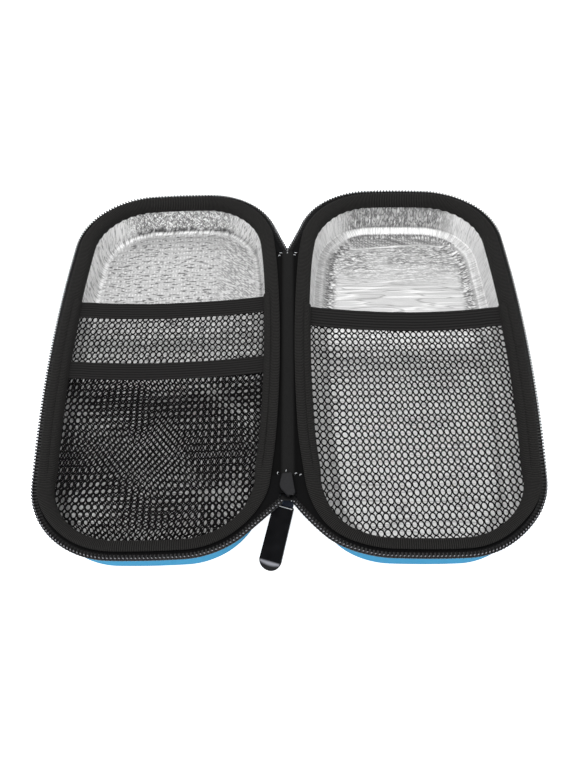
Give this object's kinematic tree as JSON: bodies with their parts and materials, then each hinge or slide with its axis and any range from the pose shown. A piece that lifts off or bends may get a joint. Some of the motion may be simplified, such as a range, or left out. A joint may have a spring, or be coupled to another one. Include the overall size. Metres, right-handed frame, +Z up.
{
  "type": "insulin cooling case",
  "caption": "Zipped hard travel case of two foil-lined insulated halves with net pockets, joined by a fabric spine and shown lying open.",
  "frame": {"origin": "on the table, under the middle of the open case: midway between its two ends and on the line of the spine", "axes": "+X across the case towards the deeper right half, +Y along the spine away from the zip slider, +Z up out of the open halves"},
  "size_m": [0.2234, 0.2156, 0.0272],
  "materials": {
    "blue_shell": "smooth blue fabric laminated on moulded EVA foam",
    "insulation_foam": "closed-cell insulation foam",
    "foil_liner": "crinkled aluminised film",
    "woven_binding": "ribbed woven binding",
    "zip_tape": "fine woven zip tape",
    "zip_teeth": "moulded polyester coil",
    "pocket_net": "knitted tricot net",
    "elastic": "ribbed woven elastic",
    "spine_lining": "smooth black lining fabric",
    "thread": "polyester sewing thread",
    "slider_metal": "matt black plating on die-cast zinc",
    "pull_tab": "high gloss black enamel on die-cast zinc"
  },
  "bodies": {
    "right_half": {"right_shell": "blue_shell", "right_insulation_foam": "insulation_foam", "right_foil_liner": "foil_liner", "right_rim_binding": "woven_binding", "right_zip_tape": "zip_tape", "right_zip_teeth": "zip_teeth", "right_pocket_hem": "woven_binding", "right_pocket_net": "pocket_net", "right_pocket_elastic": "elastic", "spine_inner_strip": "spine_lining", "spine_outer_strip": "blue_shell", "spine_far_thread": "thread", "spine_near_thread": "thread"},
    "left_half": {"left_shell": "blue_shell", "left_insulation_foam": "insulation_foam", "left_foil_liner": "foil_liner", "left_rim_binding": "woven_binding", "left_zip_tape": "zip_tape", "left_zip_teeth": "zip_teeth", "left_pocket_hem": "woven_binding", "left_upper_pocket_net": "pocket_net", "left_upper_pocket_elastic": "elastic", "left_lower_pocket_net": "pocket_net", "left_lower_pocket_elastic": "elastic"},
    "slider": {"zip_joined_end": "zip_teeth", "slider_body": "slider_metal"},
    "pull": {"pull_link": "slider_metal", "pull_tab": "pull_tab"}
  },
  "joints": [
    {"name": "lid_hinge", "type": "hinge", "parent": "right_half", "child": "left_half", "pos_m": [0, 0, 0.0273], "axis": [0, 1, 0], "range_deg": [0, 182.7], "deforming": ["spine_inner_strip", "spine_outer_strip", "spine_far_thread", "spine_near_thread"]},
    {"name": "slider_turn", "type": "hinge", "parent": "right_half", "child": "slider", "pos_m": [0, 0, 0.0273], "axis": [0, 1, 0], "range_deg": [0, 91.4]},
    {"name": "pull_flip", "type": "hinge", "parent": "slider", "child": "pull", "pos_m": [0.00013, -0.0766, 0.022], "axis": [-0.9511, 0.309, 0], "range_deg": [-95, 40]}
  ],
  "couplings": [
    {"joint": "slider_turn", "follows": "lid_hinge", "ratio": 0.5}
  ]
}
